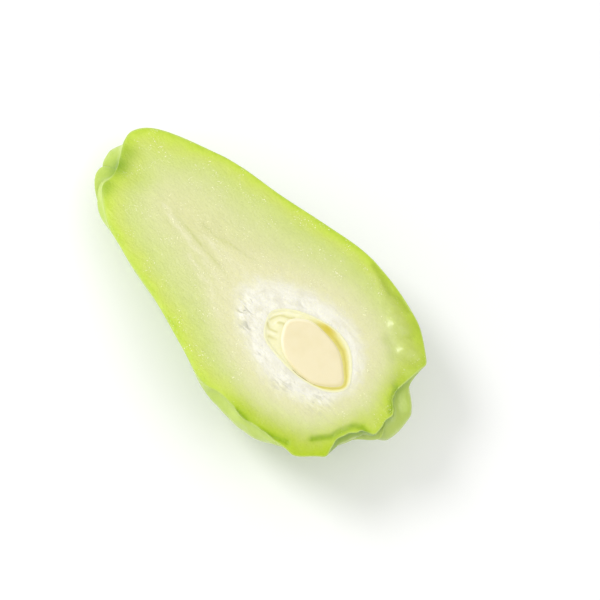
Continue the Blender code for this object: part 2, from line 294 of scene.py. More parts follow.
def rindPoints(share, angle):
    points, normals = profileCurve()
    at = np.linspace(0, 1, len(points))
    x, radius, normalX, normalR = (np.interp(share, at, values) for values in np.hstack([points, normals]).T)
    fold = rind["sideFold"]
    across = np.radians(angle - fold["angle"]) * radius / fold["width"]
    sink = lobeSink(x, angle, radius)
    sink = sink + fold["depth"] * np.exp(-np.abs(across) ** 1.5 - ((x - fold["x"]) / fold["reach"]) ** 4)
    turn = np.radians(angle + meander(x, angle))
    sunk = np.maximum(radius - normalR * sink, 0)
    x = x - normalX * sink
    y = sunk * np.cos(turn)
    z = -sunk * np.sin(turn) * rind["flatness"]

    # the stem end leans back, hangs over and is notched
    slant, aside, overhang, nick = (
        rind[name] for name in ("stemSlant", "stemAside", "stemOverhang", "stemNick"))
    stemEnd = 1 - smoothStep(*rind["stemEnd"], x)
    below = smoothStep(*overhang["below"], np.abs(z)) * (1 - smoothStep(*overhang["fadesOut"], y))
    shift = (1 - smoothStep(*aside["x"], x)) * aside["shift"]
    shift = shift + stemEnd * aside["notchShift"] * bell(radius, aside["notchReach"])
    x = x - stemEnd * (np.where(y > 0, slant["far"], slant["near"]) * y + overhang["reach"] * below)
    y = y * (1 + overhang["widening"] * stemEnd * below) + shift
    inNick = np.exp(-(((y - nick["y"]) / nick["width"]) ** 2) - (z / nick["halfHeight"]) ** 2)
    x = x + stemEnd * nick["depth"] * inNick

    # the whole fruit bends a little, and its two sides swell and narrow in their own ways
    bow, far, near, swell, bulge, lips = (rind[name] for name in (
        "axisBend", "farNarrowing", "nearNarrowing", "nearSwell", "stripBulge", "underLips"))
    y = y + bow["shift"] * np.cos(np.pi * (x - bow["x"]) / bow["wave"])
    y = y * np.where(y > 0, 1 - far["share"] * smoothStep(*far["x"], x), 1)
    wider = swell["share"] * bell(x - swell["x"], swell["reach"]) - near["share"] * smoothStep(*near["x"], x)
    y = y * np.where(y < 0, 1 + wider, 1)
    out = bulge["height"] * bell(x - bulge["x"], bulge["reach"])
    y = y - out * smoothStep(*bulge["below"], np.abs(z)) * smoothStep(*bulge["y"], y)
    sinks = [deep * smoothStep(start, full, side * y)
             for side, (start, full, deep) in ((1, lips["far"]), (-1, lips["near"]))]
    x = x - sum(sinks) * smoothStep(*lips["x"], x) * smoothStep(*lips["below"], np.abs(z))
    return np.column_stack([openCleft(x, y, z), y, z])


def addLumps(points):
    rise = sum(high * softNoise(points, size, size) for size, high in rind["lumps"]) - rind["inset"]
    outward = points * (0, 1, 1)
    length = np.maximum(np.linalg.norm(outward, axis=1), 1)
    rise = rise * np.minimum(1, np.abs(points[:, 2]) / rind["lumpsBelow"])
    ripples, fit = rind["edgeRipples"], rind["boxFit"]
    nearSide = smoothStep(*ripples["x"], points[:, 0]) * smoothStep(*ripples["y"], points[:, 1])
    waves = 2 * softNoise(points, ripples["size"], 15) - ripples["inwards"]
    rise = rise + ripples["height"] * nearSide * bell(points[:, 2], ripples["below"]) * waves
    points = points + outward / length[:, None] * rise[:, None]
    points[:, 0] += sum(pull * smoothStep(start, full, points[:, 0]) for pull, start, full in fit["pulls"])
    return points * (1, fit["across"], 1)


def markSkin(fruit, points):
    x, y, below = points[:, 0], points[:, 1], -points[:, 2]
    line, fold, cleft, notch = rind["sideFold"], skinMarks["fold"], skinMarks["cleft"], skinMarks["notch"]
    inFold = np.exp(-(((x - line["x"]) / line["reach"]) ** 4)) * smoothStep(*fold["y"], y)
    inCleft = smoothStep(*cleft["x"], x) * smoothStep(*cleft["y"], np.abs(y))
    fromNotch = (x - notch["x"]) ** 2 + (y - notch["y"]) ** 2 + below**2
    # painted shade: deep green in the blossom cleft, under the knife's edge by the side fold, and round the
    # stem's notch
    storeValue(fruit, "recessShade", np.maximum.reduce([
        inCleft * bell(below, cleft["below"]), fold["strength"] * inFold * bell(below, fold["below"]),
        np.exp(-fromNotch / notch["spread"])]))
    # pale below the knife's edge, further down on the fold strip and at both ends: partly painted light
    pale = [fold["pale"] * inFold]
    pale += [most * smoothStep(start, full, x) for most, start, full in skinMarks["paleEnds"]]
    storeValue(fruit, "belowCut", below * (1 - np.maximum.reduce(pale)))


def makeRind():
    # a ball with its poles at the stem and the blossom end, cut in two, then every point moved to its place
    clearSelection()
    bpy.ops.mesh.primitive_uv_sphere_add(segments=rind["segments"], ring_count=rind["rings"], radius=1)
    fruit = bpy.context.object
    fruit.name = "fruitHalf"
    bpy.ops.object.mode_set(mode="EDIT")
    bpy.ops.mesh.select_all(action="SELECT")
    bpy.ops.mesh.bisect(plane_co=(0, 0, 0), plane_no=(0, 1, 0), clear_outer=True, use_fill=False)
    bpy.ops.object.mode_set(mode="OBJECT")
    ball = getPoints(fruit)
    share = 1 - np.arccos(np.clip(ball[:, 2], -1, 1)) / math.pi
    onCut = np.abs(ball[:, 1]) < 1e-5
    angle = np.degrees(np.arctan2(-ball[:, 1], ball[:, 0])) % 360
    angle = np.where(onCut, np.where(ball[:, 0] > -1e-6, 0, 180), angle)
    points = rindPoints(share, angle)
    farFromAxis = np.full(len(angle), 99.0)
    storeValue(fruit, "furrow", lobeSink(points[:, 0], angle, farFromAxis) / skinMarks["furrowFull"])
    points = addLumps(points)
    drop = shoulderDrop(points[:, 0], points[:, 1]) + cutFace["edgeRounding"]["drop"]
    points[:, 2] -= drop * (1 - smoothStep(*cutFace["dropFadesOut"], -points[:, 2]))
    points[onCut, 2] = -drop[onCut]
    setPoints(fruit, points)
    ring = np.round(share * rind["rings"])
    storeValue(fruit, "column", np.where(angle < 90, ring, 2 * rind["rings"] - ring))
    markSkin(fruit, points)
    storeValue(fruit, "inward", np.zeros(len(points)))
    print("rind:", len(points), "points")
    return fruit, onCut


cutFace = {
    "shoulderLine": ((21.7, 28.5), (50.5, 5.9)),  # the knife leaves the +y shoulder aslant beyond this line
    "shoulderTilt": 8,
    "shoulderSoftness": 0.8,
    "shoulderStep": (0.25, -0.2, 2.6),  # (height, from, to)
    "dropFadesOut": (0, 9),  # how far down the rind below the knife's edge follows it
    "shoulderWander": (8, 3),  # (size, reach) of the bays in the line's visible edge
    "shoulderBumps": ((9, 1.3), (4.4, 0.5)),
    "shoulderDomes": (((24, 28), 2.2, 0.6), ((28, 32.6), 2.6, 0.7), ((35.6, 25.4), 3.4, 1),
                      ((42.6, 21.6), 3, 0.9), ((30.6, 28), 2, 0.5), ((46.4, 15.4), 2.8, 0.7),
                      ((38.6, 20.2), 2, 0.4)),  # (middle, reach, height)
    "edgeSteps": (0.25, 0.7, 1.4, 2.4),  # the first rings inside the knife's edge
    "rings": 74,
    "crowding": 1.35,  # how much closer the rings lie near the seed
    "edgeRounding": {"drop": 0.3, "reach": 0.4},
    "knifeWaves": ((17, 0.12), (6, 0.05)),
    "reliefStarts": {"edge": 1.2, "bed": 1.8},  # the waves and the grain are full this far from both
    "pith": {"centre": (16.6, -2.6), "halfSize": (26.4, 16.8), "taper": 0.22, "blossomFade": 0.7,
             "edge": (1.12, 0.92)},
    "pithGrain": ((2.4, 0.1), (1.2, 0.06)),
    "tornPits": {"size": 1.5, "depth": 0.8},
    "tornPlaces": (((-5, -6), 2.5, 0.9), ((-2.2, -9), 2.7, 1), ((1.8, -11.4), 2.4, 0.8),
                   ((11.8, -14), 3, 0.6), ((24, -15.8), 4.2, 0.5), ((36.5, -12.4), 4.2, 0.5),
                   ((8, 7.6), 3, 0.3)),  # (middle, reach, strength)
    "strands": (((-45, -3), (-31.5, -3), (-22.9, -3.4), (-15.9, -4.4), (-9.8, -6.3)),
                ((-36, 1.9), (-26, 2.9), (-19.6, 4.4), (-11.8, 6))),
    "paleStrands": (((-50, -3), (-40, -4.8), (-26, -5.4), (-16, -7.2), (-8, -11)),
                    ((-32, -0.6), (-22, -0.4), (-12, 0.4)),
                    ((-30, -9), (-18, -11), (-8, -16))),
    "strandWidth": 0.7, "paleStrandWidth": 1.3,
    "strandWander": (9, 0.8),  # (size, reach)
    "creases": (((14, -35.2), (20.7, -33.6), (29, -33.2), (34.1, -31.3), (39.5, -29)),
                ((55.6, -8.3), (52, -8.1), (49.6, -10.2), (48.8, -13.1), (47.6, -17.5), (44, -22.5)),
                ((54.6, 2.2), (52.4, 6), (50, 9.5))),
    "creaseDepth": 0.6, "creaseWidth": 0.7,
    "shoulderCrease": {"path": ((14.6, 34.1), (22, 32), (25.2, 31.2), (29.4, 32), (33.3, 31.4)),
                       "depth": 0.7, "width": 1.1, "shadeWidth": 1.2},
    "notch": (((-72.5, -4.4), 4.6, 1), ((-69, -12.5), 3.4, 0.6), ((-73.5, 0.5), 4, 0.6),
              ((-65.5, -4.5), 5, 0.15)),  # (middle, reach, strength) of the deep green round the stem's notch
    "stemGreen": {"x": (-50, -68), "share": 0.42},  # the green reaches further in at the stem end
    "greenLow": {"x": (10, 24), "y": (-14, -24)},
    "greenShoulder": 0.6,
    "greenBlossom": (0.4, 39, 47),  # (strength, from, to)
}
seedMiddle = (23, -2.6)  # the seed, its coat and its bed are drawn round this point
bed = {"outline": ((3.3, -3.4), (5.6, 1.6), (12, 5.7), (21.5, 8.6), (29.8, 7.7), (36.5, 2.6), (39.6, -2.8),
                   (36, -8.2), (27.5, -11.3), (17.5, -11.8), (8.2, -10.2)),
       "depth": 6.4, "rings": 7,
       "drawnIn": 0.3}  # the coat laps over the bed's rim by this much


def beyondShoulder(x, y):
    (x1, y1), (x2, y2) = cutFace["shoulderLine"]
    return ((x - x1) * (y1 - y2) + (y - y1) * (x2 - x1)) / math.hypot(x2 - x1, y2 - y1)


def shoulderDrop(x, y):
    beyond, soft = beyondShoulder(x, y), cutFace["shoulderSoftness"]
    slope = soft * np.logaddexp(0, beyond / soft) * math.tan(math.radians(cutFace["shoulderTilt"]))
    height, start, full = cutFace["shoulderStep"]
    return slope + height * smoothStep(start, full, beyond)


def smoothLoop(knots, steps=24):
    # a closed smooth curve through a few points
    knots = np.array(knots)
    t = np.linspace(0, 1, steps, endpoint=False)[:, None]
    before, after, next2 = (np.roll(knots, turns, axis=0) for turns in (1, -1, -2))
    return np.vstack([curveBetween(a, b, c, d, t) for a, b, c, d in zip(before, knots, after, next2)])


def rimReach(piece, bearing):
    # how far the piece's outline lies from the seed's middle, in each direction
    offset = smoothLoop(piece["outline"]) - seedMiddle
    around = np.arctan2(offset[:, 1], offset[:, 0])
    order = np.argsort(around)
    return np.interp(bearing, around[order], np.linalg.norm(offset, axis=1)[order], period=2 * math.pi)


def rimTowards(piece, points, grow=0):
    # where the line from the seed's middle to each point crosses the piece's outline
    bearing = np.arctan2(points[:, 1] - seedMiddle[1], points[:, 0] - seedMiddle[0])
    reach = rimReach(piece, bearing) + grow
    return seedMiddle + np.column_stack([np.cos(bearing), np.sin(bearing)]) * reach[:, None]


def pithReach(x, y):
    # 1 on the pith's outer edge, less inside it, and the bearing round its middle
    pith = cutFace["pith"]
    u = (x - pith["centre"][0]) / pith["halfSize"][0]
    v = (y - pith["centre"][1]) / (pith["halfSize"][1] * (1 + pith["taper"] * np.clip(u, -1.6, 1.6)))
    reach, bearing = np.sqrt(u * u + v * v), np.arctan2(v, u)
    return reach + pith["blossomFade"] * np.maximum(reach - 0.8, 0) * np.maximum(np.cos(bearing), 0), bearing


def distanceToPath(points, path, closed=False):
    path = np.array(path)
    ends = np.roll(path, -1, axis=0) if closed else path[1:]
    best = np.full(len(points), 1e9)
    for a, b in zip(path, ends):
        run = b - a
        t = np.clip(((points - a) @ run) / max(run @ run, 1e-9), 0, 1)
        best = np.minimum(best, np.linalg.norm(points - a - t[:, None] * run, axis=1))
    return best


def alongPaths(flat, paths, width):
    return np.max([bell(distanceToPath(flat, path), width) for path in paths], axis=0)


def spots(x, y, places):
    # round soft spots, each with its middle, reach and strength
    total = np.zeros(len(x))
    for (atX, atY), reach, strength in places:
        total = np.maximum(total, strength * np.exp(-((x - atX) ** 2 + (y - atY) ** 2) / reach**2))
    return total


def shoulderAmount(points):
    # 1 on the glossy bumps that the knife left aslant, with a wandering edge
    size, reach = cutFace["shoulderWander"]
    wander = reach * (softNoise(points, size, 21) + 0.5 * softNoise(points, 3, 31))
    return smoothStep(-0.6, 2.2, beyondShoulder(points[:, 0], points[:, 1]) + wander)


def shoulderRise(points):
    rise = sum(high * softNoise(points, size, 8.3) for size, high in cutFace["shoulderBumps"])
    return rise + spots(points[:, 0], points[:, 1], cutFace["shoulderDomes"])


def creaseAmount(flat, width):
    wobble = softNoise(np.column_stack([flat, flat[:, :1]]), 5, 1) * 0.5
    return sum(bell(distanceToPath(flat + wobble[:, None], path), width) for path in cutFace["creases"])


def faceRelief(flat, skinDepth, reach, torn, fromBed):
    # how far the cut face stands above the knife's plane
    x, y = flat[:, 0], flat[:, 1]
    points = np.column_stack([x, y, np.zeros(len(x))])
    relief = sum(high * softNoise(points, size, 3.1) for size, high in cutFace["knifeWaves"])
    softly = smoothStep(-2, 4.5, beyondShoulder(x, y)) * smoothStep(0, 3, skinDepth)
    relief = relief + softly * shoulderRise(points)
    grain = sum(high * softNoise(points, size, 5.7) for size, high in cutFace["pithGrain"])
    pits = np.maximum(softNoise(points, cutFace["tornPits"]["size"], 12.9), 0)
    inPith = smoothStep(*cutFace["pith"]["edge"], reach)
    relief = relief + inPith * (grain * (0.6 + torn) - cutFace["tornPits"]["depth"] * torn * pits)
    starts, crease, rounding = (cutFace[name] for name in ("reliefStarts", "shoulderCrease", "edgeRounding"))
    relief = relief * smoothStep(0, starts["edge"], skinDepth) * smoothStep(0, starts["bed"], fromBed)
    relief = relief - cutFace["creaseDepth"] * creaseAmount(flat, cutFace["creaseWidth"])
    relief = relief - crease["depth"] * alongPaths(flat, [crease["path"]], crease["width"])
    return relief - shoulderDrop(x, y) - rounding["drop"] * np.exp(-skinDepth / rounding["reach"])


def selectEdges(obj, wanted):
    # selects the edges for which wanted(edge) holds, in edge mode
    makeActive(obj)
    bpy.ops.object.mode_set(mode="EDIT")
    bpy.ops.mesh.select_mode(type="EDGE")
    bpy.ops.mesh.select_all(action="DESELECT")
    mesh = bmesh.from_edit_mesh(obj.data)
    for edge in mesh.edges:
        if wanted(edge):
            edge.select_set(True)
    bmesh.update_edit_mesh(obj.data)


def extrudeOpenEdge(obj):
    # the open edge is extruded where it is, and the new points are told apart
    selectEdges(obj, lambda edge: edge.is_boundary)
    bpy.ops.mesh.extrude_edges_move()
    bpy.ops.object.mode_set(mode="OBJECT")
    new = np.zeros(len(obj.data.vertices), dtype=bool)
    obj.data.vertices.foreach_get("select", new)
    return new


def ringSteps(length):
    # for each column, the distances from the knife's edge at which its rings lie
    first = np.array([0, *cutFace["edgeSteps"]])
    rest = cutFace["rings"] + 2 - len(first)
    u = 1 - np.linspace(0, 1, rest + 1)[1:]
    inner = (length - first[-1])[:, None] * (1 - u**cutFace["crowding"]) + first[-1]
    return np.hstack([np.tile(first, (len(length), 1)), inner])


def columns(fruit):
    return np.round(readValue(fruit, "column")).astype(int) % (2 * rind["rings"])


def markFlesh(fruit, face, placed, skinDepth, reach, bearing, torn):
    # what the flesh's colours follow, kept on the points of the cut face
    flat = placed[:, :2]
    x, y = flat[:, 0], flat[:, 1]
    level = np.column_stack([flat, np.zeros(len(flat))])
    bent = bend(flat, placed, *cutFace["strandWander"])
    stem, low, crease = cutFace["stemGreen"], cutFace["greenLow"], cutFace["shoulderCrease"]
    shoulder = shoulderAmount(level)
    green, start, full = cutFace["greenBlossom"]
    marks = {"skinDepth": skinDepth * (1 - stem["share"] * smoothStep(*stem["x"], x)), "pithReach": reach,
        "aroundX": np.cos(bearing), "aroundY": np.sin(bearing), "torn": torn, "shoulder": shoulder,
        "notch": spots(x, y, cutFace["notch"]),
        # deep green along the creases: partly the flesh's own colour, partly painted shade
        "crease": np.minimum(creaseAmount(flat, 1.6 * cutFace["creaseWidth"]), 1),
        # painted shade: darker green in the hollows between the shoulder's bumps and along its crease
        "hollowShade": np.maximum(shoulder * smoothStep(0.5, -0.9, shoulderRise(level)),
                             alongPaths(flat, [crease["path"]], crease["shadeWidth"])),
        "greener": np.maximum.reduce([cutFace["greenShoulder"] * shoulder, green * smoothStep(start, full, x),
                                      smoothStep(*low["x"], x) * smoothStep(*low["y"], y)]),
        "strand": alongPaths(bent, cutFace["strands"], cutFace["strandWidth"]),
        "paleStrand": alongPaths(bent, cutFace["paleStrands"], cutFace["paleStrandWidth"]),
    }
    for name, values in marks.items():
        whole = np.full(len(face), 3.0 if name == "pithReach" else 0.0)
        whole[face] = values
        storeValue(fruit, name, whole)


def makeCutFace(fruit, onCut):
    # the knife's edge is drawn in to the seed's bed, and the strip between is cut into rings
    outline = np.empty((2 * rind["rings"], 2))
    outline[columns(fruit)[onCut]] = getPoints(fruit)[onCut][:, :2]
    new = extrudeOpenEdge(fruit)
    rim = rimTowards(bed, outline, -bed["drawnIn"])
    points = getPoints(fruit)
    points[new, :2] = rim[columns(fruit)[new]]
    points[new, 2] = 0
    setPoints(fruit, points)
    storeValue(fruit, "inward", new.astype(float))
    between = readValue(fruit, "inward")
    selectEdges(fruit, lambda edge: abs(between[edge.verts[0].index] - between[edge.verts[1].index]) > 0.5)
    bpy.ops.mesh.subdivide_edgering(number_cuts=cutFace["rings"], interpolation="LINEAR")
    bpy.ops.object.mode_set(mode="OBJECT")
    inward = readValue(fruit, "inward")
    face = inward > 1e-4
    ring = np.round(inward * (cutFace["rings"] + 1)).astype(int)[face]
    column = columns(fruit)[face]
    length = np.linalg.norm(rim - outline, axis=1)
    share = ringSteps(length)[column, ring] / length[column]
    flat = outline[column] + (rim - outline)[column] * share[:, None]
    skinDepth = distanceToPath(flat, outline, closed=True)
    fromBed = distanceToPath(flat, smoothLoop(bed["outline"], 12), closed=True)
    reach, bearing = pithReach(flat[:, 0], flat[:, 1])
    torn = spots(flat[:, 0], flat[:, 1], cutFace["tornPlaces"])
    placed = np.column_stack([flat, faceRelief(flat, skinDepth, reach, torn, fromBed)])
    points = getPoints(fruit)
    points[face] = placed
    setPoints(fruit, points)
    markFlesh(fruit, face, placed, skinDepth, reach, bearing, torn)
    print("cut face:", int(face.sum()), "points")


def makeBed(fruit):
    # the seed's bed: the rim drawn down and in, ring by ring, and closed at its lowest point
    rimHeight = getPoints(fruit)[readValue(fruit, "inward") > 0.9999, 2].mean()
    for k in range(1, bed["rings"] + 1):
        new = extrudeOpenEdge(fruit)
        before, after = ((k - i) / bed["rings"] * math.pi / 2 for i in (1, 0))
        points = getPoints(fruit)
        shrink = max(math.cos(after), 0.02) / math.cos(before)
        points[new, :2] = seedMiddle + (points[new, :2] - seedMiddle) * shrink
        points[new, 2] = rimHeight - bed["depth"] * math.sin(after)
        setPoints(fruit, points)
    selectEdges(fruit, lambda edge: edge.is_boundary)
    bpy.ops.mesh.merge(type="CENTER")
    bpy.ops.object.mode_set(mode="OBJECT")


def splitMaterials(fruit):
    # the first material for the rind, the second for the cut face and the bed
    inward = readValue(fruit, "inward")
    for face in fruit.data.polygons:
        face.material_index = int(any(inward[i] > 1e-4 for i in face.vertices))


waxySkin = {  # smooth live skin under a thin wax: soft broad highlights, even green with pale dots
    # pale and streak stand partly for painted light on the lobes near the knife's edge
    "crest": "#a8c838", "side": "#95b628", "furrow": "#759a14", "creviceShade": "#567c0a", "pale": "#c9dc6a",
    "dot": "#c2d86c", "recessShade": "#7fa31e", "streak": "#dfe99c",
    "textures": {  # name: (size in mm, detail, distortion)
        "patches": (16, 3, 0), "veins": (3.4, 4, 0.6), "lumps": (4, 2, 0), "pores": (0.7, 1, 0)},
    "dotSpacing": 2.6,
    "paleUntil": 8,  # how far below the knife's edge the skin is pale, in mm
    "roughness": (0.27, 0.43),
    "finish": {"IOR": 1.45, "Coat Weight": 0.4, "Coat Roughness": 0.18, "Subsurface Weight": 0.2,
               "Subsurface Radius": (1, 1, 0.5), "Subsurface Scale": 0.0015},
}


def makeSkinMaterial():
    look = waxySkin
    mat, shader = newMaterial("waxySkin")
    place = addNode(mat, "TexCoord", output="Object")
    lengthwise = addNode(mat, "Mapping", links={"Vector": place}, Scale=(0.16, 1, 1))
    mark = {name: addNode(mat, "Attribute", attribute_name=name, output="Fac")
            for name in ("furrow", "belowCut", "recessShade")}
    tone = {name: addNode(mat, "TexNoise", Scale=1000 / size, Detail=detail, Distortion=bent,
                          links={"Vector": lengthwise if name == "veins" else place})
            for name, (size, detail, bent) in look["textures"].items()}
    dots = addNode(mat, "TexVoronoi", Scale=1000 / look["dotSpacing"], links={"Vector": place})
    depth = addNode(mat, "Math", operation="MULTIPLY_ADD",
                    links={0: tone["patches"], 1: 0.55, 2: mark["furrow"]})
    # greener and darker into the furrows, with painted shade in their crevices
    skin = addNode(mat, "ValToRGB", links={"Fac": depth},
                   stops=((0.2, look["crest"]), (0.5, look["side"]), (0.9, look["furrow"]),
                          (1, look["creviceShade"])))
    vein, dot, pale = (addNode(mat, "MapRange", From_Min=low, From_Max=high, To_Max=most,
                               links={"Value": source})
                       for source, low, high, most in (
                           (tone["veins"], 0.55, 0.75, 0.35), (dots, 0.16, 0.08, 0.4),
                           (mark["belowCut"], look["paleUntil"], 0, 0.75)))
    streak = addNode(mat, "Math", operation="MULTIPLY", links={0: pale, 1: vein})
    # faint veins and small breathing dots, thin pale streaked skin where the knife went through, partly
    # painted light, and deep green painted as shade where it lies hidden under the knife's edge
    for share, above in ((vein, "pale"), (dot, "dot"), (pale, "pale"), (streak, "streak"),
                         (mark["recessShade"], "recessShade")):
        skin = addNode(mat, "Mix", data_type="RGBA", output=2,
                       links={0: share, 6: skin, 7: colour(look[above])})
    height = addNode(mat, "Math", operation="MULTIPLY_ADD",
                     links={0: tone["pores"], 1: 0.08, 2: tone["lumps"]})
    bump = addNode(mat, "Bump", Strength=0.6, Distance=0.0009, links={"Height": height})
    smooth, rough = look["roughness"]
    sheen = addNode(mat, "MapRange", To_Min=smooth, To_Max=rough, links={"Value": tone["patches"]})
    plugIn(mat, shader, {"Base Color": skin, "Roughness": sheen, "Normal": bump, **look["finish"]})
    return mat


moistFlesh = {  # wet, finely grained flesh: green under the skin, cream inside, white spongy pith by the seed
    "ordinary": ((0, "#bad33b"), (1.5, "#c6da50"), (3.5, "#c9d766"), (7, "#cad67d"), (11, "#cfd78d"),
                 (16, "#d4d89a"), (24, "#d8d8a0")),  # (mm under the skin, colour)
    "greener": ((0, "#b0c81a"), (2, "#b4cb2a"), (4.5, "#bccd4e"), (7, "#c4d16b"), (10, "#cdd984"),
                (15, "#d8da9e"), (24, "#dad8a4")),
    "depthShown": 24,  # how far the green reaches in, in mm
    # hollowShade is painted shade, and crease is partly painted shade as well as the flesh's own deep green
    "notch": "#80a400", "hollowShade": "#a6bd2c", "crease": "#93b50a", "strand": "#c2c681", "cream": "#e1deb2",
    "paleStrand": "#e2e0b8", "pith": "#eeecdc", "pithShade": "#e4e1cd", "torn": "#b9b8a6", "fleck": "#f8f7ec",
    # glint is a painted highlight
    "glint": "#f9f9cc", "skinLine": "#bfd274",
    "spaces": {"along": (0.3, 1, 1), "round": (3.2, 3.2, 8)},  # how much each is pressed together
    "textures": {  # name: (space, size in mm, detail, distortion)
        "drift": ("plain", 11, 3, 0), "mottle": ("plain", 3.2, 3, 0), "grain": ("plain", 0.8, 3, 0),
        "fibre": ("along", 1.6, 4, 0.4), "ragged": ("along", 1.5, 5, 0.9), "cluster": ("plain", 6.5, 3, 0.4),
        "bead": ("plain", 0.55, 1, 0.3), "stroke": ("round", 1000, 4, 0.5)},
    "wander": {"depth": ("skinDepth", ("drift", 5), ("mottle", 1.6)),
               "reach": ("pithReach", ("mottle", 0.26), ("fibre", 0.14))},
    "masks": {  # name: (source, low, high, value at low, value at high)
        "broken": ("fibre", 0.35, 0.6, 0.15, 0.75), "creamy": ("reach", 2, 1.24, 0, 0.85),
        # pit greys the torn places: partly the torn tissue's tone, partly painted shade in its pits
        "pith": ("reach", 1.38, 0.98, 0, 1), "pit": ("ragged", 0.5, 0.62, 0, 0.9),
        "fleck": ("ragged", 0.45, 0.36, 0, 0.9), "bead": ("bead", 0.62, 0.72, 0, 0.95),
        "cluster": ("cluster", 0.5, 0.62, 0, 1), "skinLine": ("skinDepth", 0.55, 0.15, 0, 0.6),
        "gloss": ("mottle", 0.3, 0.7, 0.3, 0.48)},
    "layers": (  # (where, how strongly, colour), each over the ones before
        ("hollowShade", 0.6, "hollowShade"), ("crease", 0.9, "crease"), ("strand", "broken", "strand"),
        ("paleStrand", "broken", "paleStrand"), ("creamy", 1, "cream"), ("pith", 1, "pith"),
        ("torn", "pit", "torn"), ("torn", "fleck", "fleck"), ("glint", 0.95, "glint"),
        ("skinLine", 1, "skinLine"), ("notch", 0.95, "notch")),
    "relief": (("glint", 0.7), ("cotton", 1)),
    "shoulderRoughness": 0.34, "shoulderWetness": 0.6,
    "finish": {"IOR": 1.38, "Coat Roughness": 0.25, "Subsurface Weight": 0.25,
               "Subsurface Radius": (1, 1, 0.7), "Subsurface Scale": 0.0015},
}


def makeFleshMaterial():
    look = moistFlesh
    mat, shader = newMaterial("moistFlesh")
    mark = {name: addNode(mat, "Attribute", attribute_name=name, output="Fac") for name in (
        "skinDepth", "pithReach", "aroundX", "aroundY", "torn", "shoulder", "greener", "hollowShade", "notch",
        "crease", "strand", "paleStrand")}
    place = addNode(mat, "TexCoord", output="Object")
    around = addNode(mat, "CombineXYZ", links={0: mark["aroundX"], 1: mark["aroundY"], 2: mark["pithReach"]})
    spaces = {"plain": place, "along": place, "round": around}
    for name, scale in look["spaces"].items():
        spaces[name] = addNode(mat, "Mapping", links={"Vector": spaces[name]}, Scale=scale)
    tone = {name: addNode(mat, "TexNoise", Scale=1000 / size, Detail=detail, Distortion=bent,
                          links={"Vector": spaces[space]})
            for name, (space, size, detail, bent) in look["textures"].items()}

    # depth under the skin and reach of the pith, each made to wander
    for name, (steady, *parts) in look["wander"].items():
        tone[name] = mark[steady]
        for part, amount in parts:
            tone[name] = addNode(mat, "Math", operation="MULTIPLY_ADD",
                                 links={0: tone[part], 1: amount, 2: tone[name]})
    sources = {**mark, **tone}
    mask = {name: addNode(mat, "MapRange", interpolation_type="SMOOTHSTEP", From_Min=low,
                          From_Max=high, To_Min=first, To_Max=last, links={"Value": sources[source]})
            for name, (source, low, high, first, last) in look["masks"].items()}
    skinAt = sum(amount for _, amount in look["wander"]["depth"][1:]) / 2  # as much as the wandering adds
    depth = addNode(mat, "MapRange", From_Min=skinAt, From_Max=skinAt + look["depthShown"],
                    links={"Value": tone["depth"]})
    ordinary, greener = (addNode(mat, "ValToRGB", links={"Fac": depth},
                                 stops=[(deep / look["depthShown"], shade) for deep, shade in look[name]])
                         for name in ("ordinary", "greener"))
    flesh = addNode(mat, "Mix", data_type="RGBA", output=2,
                    links={0: mark["greener"], 6: ordinary, 7: greener})
    pith = addNode(mat, "ValToRGB", links={"Fac": tone["stroke"]},
                   stops=((0.34, look["pithShade"]), (0.56, look["pith"])))

    # painted highlights: glints where beads of juice lie, in clusters and along the pale strands
    wetter = addNode(mat, "Math", operation="MULTIPLY_ADD",
                     links={0: mark["paleStrand"], 1: 0.6, 2: mask["cluster"]})
    wetter = addNode(mat, "Math", operation="SUBTRACT", use_clamp=True, links={0: wetter, 1: mark["greener"]})
    glint = addNode(mat, "Math", operation="MULTIPLY", use_clamp=True, links={0: mask["bead"], 1: wetter})
    cotton = addNode(mat, "Math", operation="MULTIPLY", links={0: tone["stroke"], 1: mask["pith"]})
    shares = {**mark, **mask, "glint": glint, "cotton": cotton}
    for where, strength, name in look["layers"]:
        share = addNode(mat, "Math", operation="MULTIPLY",
                        links={0: shares[where], 1: shares.get(strength, strength)})
        above = pith if name == "pith" else colour(look[name])
        flesh = addNode(mat, "Mix", data_type="RGBA", output=2, links={0: share, 6: flesh, 7: above})
    height = addNode(mat, "Math", operation="ADD", links={0: tone["grain"], 1: tone["fibre"]})
    shade = addNode(mat, "MapRange", From_Min=0.6, From_Max=1.4, To_Min=0.95, To_Max=1.05,
                    links={"Value": height})
    flesh = addNode(mat, "Mix", data_type="RGBA", output=2, blend_type="MULTIPLY",
                    links={0: 1, 6: flesh, 7: shade})

    # relief: fine grain, beads, and strokes where the pith is
    for part, amount in look["relief"]:
        height = addNode(mat, "Math", operation="MULTIPLY_ADD", links={0: shares[part], 1: amount, 2: height})
    bump = addNode(mat, "Bump", Strength=0.5, Distance=0.0003, links={"Height": height})
    wet = addNode(mat, "Math", operation="MULTIPLY", links={0: mark["shoulder"], 1: look["shoulderWetness"]})
    rough = addNode(mat, "Mix", data_type="FLOAT",
                    links={0: mark["shoulder"], 2: mask["gloss"], 3: look["shoulderRoughness"]})
    plugIn(mat, shader,
           {"Base Color": flesh, "Roughness": rough, "Coat Weight": wet, "Normal": bump, **look["finish"]})
    return mat


